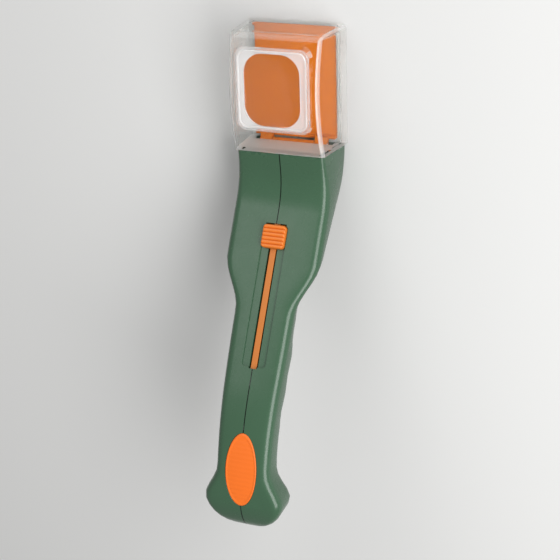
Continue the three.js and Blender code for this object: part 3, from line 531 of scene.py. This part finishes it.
# Magnifier: a milky raised frame, a clearer ledge round it and the clear lens inside it
def add_magnifier():
    """The ledge, the frame and the lens, from the outside in."""
    low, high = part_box("magnifier_lens")
    centre = (low + high) / 2
    half_x, half_y = (high.x - low.x) / 2, (high.y - low.y) / 2
    top = high.z + LENS_STEP - LENS_BULGE
    under = top - FRAME_HEIGHT
    ledge_top = top - LEDGE_DROP

    def outline(inset, z):
        return rounded_ring(half_x - inset, half_y - inset, FRAME_CORNER - inset / 2, z)

    def lens_outline(grow, z):
        return rounded_ring(LENS_WIDTH / 2 + grow, LENS_LENGTH / 2 + grow, LENS_CORNER + grow, z)

    def bulged(z, bulge, share):
        """A ring of the lens, drawn in to a share of its outline and raised by the bulge there."""
        points = [Vector((point.x * share, point.y * share, z)) for point in lens_outline(0, z)]
        for point in points:
            point.z += bulge * (1 - (2 * point.x / LENS_WIDTH) ** 2 - (2 * point.y / LENS_LENGTH) ** 2)
        return points

    def add(shape, name, material):
        bmesh.ops.translate(shape, verts=shape.verts, vec=(centre.x, centre.y, 0))
        add_piece(shape, name, "handle", material, ["magnifier_lens"])

    inner = FRAME_TAPER + FRAME_LEDGE
    add(ring_shape([
        outline(0, under),
        outline(FRAME_TAPER - FRAME_EDGE / 2, ledge_top - FRAME_EDGE),
        outline(FRAME_TAPER + FRAME_EDGE / 2, ledge_top),
        outline(inner, ledge_top),
        outline(inner, under),
    ]), "lens_ledge", LEDGE_CLEAR)
    inner += LENS_FIT
    add(ring_shape([
        outline(inner, under),
        outline(inner, top - FRAME_EDGE),
        outline(inner + FRAME_EDGE, top),
        outline(inner + BEAD_WIDTH, top),
        outline(inner + BEAD_WIDTH + FRAME_EDGE, top - BEAD_HEIGHT),
        lens_outline(LENS_STEP + FRAME_EDGE, top - BEAD_HEIGHT),
        lens_outline(LENS_STEP, top - BEAD_HEIGHT - FRAME_EDGE / 2),
        lens_outline(LENS_FIT, top - LENS_STEP),
        lens_outline(LENS_FIT, under),
    ]), "lens_frame", MILKY)
    shares = [math.cos(math.pi / 2 * step / LENS_RINGS) for step in range(LENS_RINGS)]
    bowl = [bulged(under - LENS_UNDER, -LENS_UNDER, share) for share in reversed(shares)]
    dome = [bulged(top - LENS_STEP, LENS_BULGE, share) for share in shares]
    add(skin_through(bowl + dome), "lens", LENS_CLEAR)


# Thumb button: a ridged cap with rounded edges, over the two legs that grip the carriage
def rounding(distance, reach):
    """Height share of a quarter-round edge, by the distance from the edge."""
    short = 1 - min(max(distance / reach, 0), 1)
    return math.sqrt(1 - short * short)


def add_button():
    """The ridged cap, and the legs that are left of the solid below it."""
    cap = bmesh.new()
    rows = BUTTON_RIDGES * RIDGE_ROWS
    bmesh.ops.create_grid(cap, x_segments=RIDGE_COLUMNS, y_segments=rows, size=1)
    for vert in cap.verts:
        y = vert.co.y * BUTTON_HALF_LENGTH
        into_corner = max(abs(y) - (BUTTON_HALF_LENGTH - BUTTON_CORNER), 0)
        corner_loss = BUTTON_CORNER - math.sqrt(max(BUTTON_CORNER ** 2 - into_corner ** 2, 0))
        half = BUTTON_HALF_WIDTH - corner_loss
        x = half * math.sin(vert.co.x * math.pi / 2)
        inside = min(half - abs(x), BUTTON_HALF_LENGTH - abs(y))
        across_ridge = ((vert.co.y + 1) / 2 * BUTTON_RIDGES) % 1.0
        ridge = math.sqrt(max(1 - (2 * across_ridge - 1) ** 2, 0))
        height = BUTTON_BODY - BUTTON_EDGE * (1 - rounding(inside, BUTTON_EDGE))
        vert.co = (x, y, height + RIDGE_HEIGHT * ridge * rounding(half - abs(x), RIDGE_END))
    for vert in extruded_rim(cap):
        vert.co.z = 0
    bmesh.ops.edgeloop_fill(cap, edges=open_edges(cap))
    bmesh.ops.transform(cap, matrix=SLIDE_FRAME @ Matrix.Translation(BUTTON_PLACE), verts=cap.verts)
    add_piece(cap, "button", "slide", BUTTON_ORANGE, ["thumb_button"])

    legs = welded_copy("thumb_button")
    parts = legs.verts[:] + legs.edges[:] + legs.faces[:]
    up = SLIDE_FRAME.to_3x3() @ Vector((0, 0, 1))
    cut = SLIDE_FRAME @ BUTTON_PLACE
    bmesh.ops.bisect_plane(legs, geom=parts, plane_co=cut, plane_no=up, clear_outer=True)
    bmesh.ops.holes_fill(legs, edges=open_edges(legs))
    add_piece(legs, "button_legs", "slide", BUTTON_ORANGE, ["thumb_button"])


# Grip oval: a soft pad with a raised rim and faint ribs, which follows the handle's top
def grip_top(x, y, crest_height):
    """The handle's top: level at its crest, bending down evenly towards the slot."""
    drop = math.tan(SLOT_RISE) / GRIP_BEND_LENGTH / 2 * (y - GRIP_CREST) ** 2
    return crest_height - drop - TOP_CROWN * (x / TOP_FLAT) ** 2


def add_oval():
    """The ribbed pad, set in the pommel."""
    low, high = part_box("grip_inlay")
    crest_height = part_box("handle_right_shell")[1].z
    half_x, half_y, middle = high.x, (high.y - low.y) / 2, (high.y + low.y) / 2
    pad = bmesh.new()
    bmesh.ops.create_grid(pad, x_segments=OVAL_COLUMNS, y_segments=OVAL_RIBS * RIB_ROWS, size=1)
    for vert in pad.verts:
        along = math.sin(vert.co.y * math.pi / 2 * OVAL_END)
        x = half_x * math.cos(math.asin(along)) * math.sin(vert.co.x * math.pi / 2)
        y = half_y * along
        inside = half_x * (1 - math.hypot(x / half_x, along))
        field = min(max((inside - OVAL_RIM) / OVAL_RIM, 0), 1)
        rib = RIB_HEIGHT * math.cos(math.pi * OVAL_RIBS * along)
        height = OVAL_PROUD * rounding(inside, OVAL_EDGE) - field * (OVAL_SINK - rib)
        vert.co = (x, middle + y, grip_top(x, middle + y, crest_height) + height)
    bmesh.ops.translate(pad, verts=extruded_rim(pad), vec=(0, 0, -OVAL_DEPTH))
    bmesh.ops.edgeloop_fill(pad, edges=open_edges(pad))
    add_piece(pad, "oval_grip", "handle", INLAY_ORANGE, ["grip_inlay"])


# Case screws: round heads with a cross recess, on the left
def cross_reach(turn):
    """How far the cross recess reaches from the screw's axis in one direction."""
    turn = abs((turn + math.pi / 4) % (math.pi / 2) - math.pi / 4)
    return min(CROSS_ARM / math.cos(turn), CROSS_HALF_WIDTH / max(math.sin(turn), LEAST_SINE))


def add_screw(number):
    """One screw, which goes in from the left."""
    node = f"case_screw_{number}"
    low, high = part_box(node)
    head = (high.y - low.y) / 2
    length = high.x - low.x
    turns = [2 * math.pi * step / SCREW_SIDES for step in range(SCREW_SIDES)]

    def ring(reach, z):
        return [Vector((reach(t) * math.cos(t), reach(t) * math.sin(t), z)) for t in turns]

    def circle(radius, z):
        return ring(lambda turn: radius, z)

    screw = skin_through([
        circle(SHANK_RADIUS / 2, -length),
        circle(SHANK_RADIUS, SHANK_RADIUS / 2 - length),
        circle(SHANK_RADIUS, -HEAD_HEIGHT),
        circle(head, -HEAD_HEIGHT),
        circle(head, -HEAD_EDGE),
        circle(head - HEAD_EDGE / 3, -HEAD_EDGE / 3),
        circle(head - HEAD_EDGE, 0),
        ring(cross_reach, 0),
        ring(lambda turn: cross_reach(turn) * CROSS_TAPER, -CROSS_DEPTH),
    ])
    place = Matrix.Translation((low.x, (low.y + high.y) / 2, (low.z + high.z) / 2))
    bmesh.ops.transform(screw, matrix=place @ Matrix.Rotation(-math.pi / 2, 4, "Y"), verts=screw.verts)
    add_piece(screw, f"screw_{number}", "handle", STEEL, [node])


add_handle()
add_chamber()
add_magnifier()
add_button()
add_plain("trap_door", "door_leaf", "door", DOOR_ORANGE)
add_plain("slide_carriage", "carriage", "slide", DOOR_ORANGE)
add_plain("slot_strip", "strip", "handle", SHADED_STRIP_ORANGE)
add_oval()
add_plain("hinge_pin", "pin", "slide", STEEL)
for number in range(1, CASE_SCREWS + 1):
    add_screw(number)


# Studio
def add_camera():
    """A camera that looks down on the catcher as the photograph does."""
    data = bpy.data.cameras.new("camera")
    data.lens = CAMERA_LENS
    data.sensor_width = CAMERA_SENSOR
    camera = bpy.data.objects.new("camera", data)
    scene.collection.objects.link(camera)
    back = CAMERA_BACK.normalized()
    right = Vector((0, 1, 0)).cross(back).normalized()
    up = back.cross(right)
    turned = Matrix((right, up, back)).transposed().to_4x4() @ Matrix.Rotation(CAMERA_ROLL, 4, "Z")
    camera.matrix_world = Matrix.Translation(CAMERA_PLACE) @ turned
    scene.camera = camera


def add_lamp(name, direction, distance, width, height, power):
    """A soft box that faces the catcher from the given direction."""
    data = bpy.data.lights.new(name, "AREA")
    data.shape = "RECTANGLE"
    data.energy = power
    data.size = width
    data.size_y = height
    lamp = bpy.data.objects.new(name, data)
    scene.collection.objects.link(lamp)
    toward = Vector(direction).normalized()
    lamp.location = toward * distance
    lamp.rotation_mode = "QUATERNION"
    lamp.rotation_quaternion = toward.to_track_quat("Z", "Y")


def larger(tree, first, second):
    """The larger of two values."""
    return add_node(tree, "ShaderNodeMath", {0: first, 1: second}, operation="MAXIMUM").outputs["Value"]


def seen_share(tree, *ways):
    """1 for the rays that show the surroundings in one of these ways, and 0 for the rays that light."""
    path = add_node(tree, "ShaderNodeLightPath").outputs
    share = path[ways[0]]
    for way in ways[1:]:
        share = larger(tree, share, path[way])
    links = {0: share, 1: path["Diffuse Depth"]}
    seen = add_node(tree, "ShaderNodeMath", links, operation="SUBTRACT", use_clamp=True)
    return seen.outputs["Value"]


def add_floor():
    """A plain floor, which is seen paler than the light that it throws back."""
    mesh = bpy.data.meshes.new("floor")
    shape = bmesh.new()
    bmesh.ops.create_grid(shape, x_segments=1, y_segments=1, size=FLOOR_SIZE / 2)
    bmesh.ops.translate(shape, verts=shape.verts, vec=(0, 0, -FLOOR_DROP))
    shape.to_mesh(mesh)
    shape.free()
    material = finish("pale_floor", FLOOR_ROUGHNESS)
    tree = material.node_tree
    seen = seen_share(tree, *STRAIGHT, GLOSSY)
    drive(tree, "Base Color", blend_colours(tree, seen, FLOOR_BOUNCE, FLOOR_SEEN))
    mesh.materials.append(material)
    floor = bpy.data.objects.new("floor", mesh)
    scene.collection.objects.link(floor)


def light_room():
    """An even white room, brighter where it is seen than in the light that it gives."""
    world = bpy.data.worlds.new("studio")
    scene.world = world
    world.use_nodes = True
    tree = world.node_tree
    background = tree.nodes["Background"].inputs
    background["Color"].default_value = (1, 1, 1, 1)
    around = between(tree, seen_share(tree, GLOSSY), ROOM_LIGHT, ROOM_GLOSS, 0, 1)
    behind = between(tree, seen_share(tree, *STRAIGHT), 0, ROOM_SEEN, 0, 1)
    tree.links.new(larger(tree, around, behind), background["Strength"])


add_camera()
add_lamp("right_box", **RIGHT_BOX)
add_lamp("front_box", **FRONT_BOX)
add_floor()
light_room()
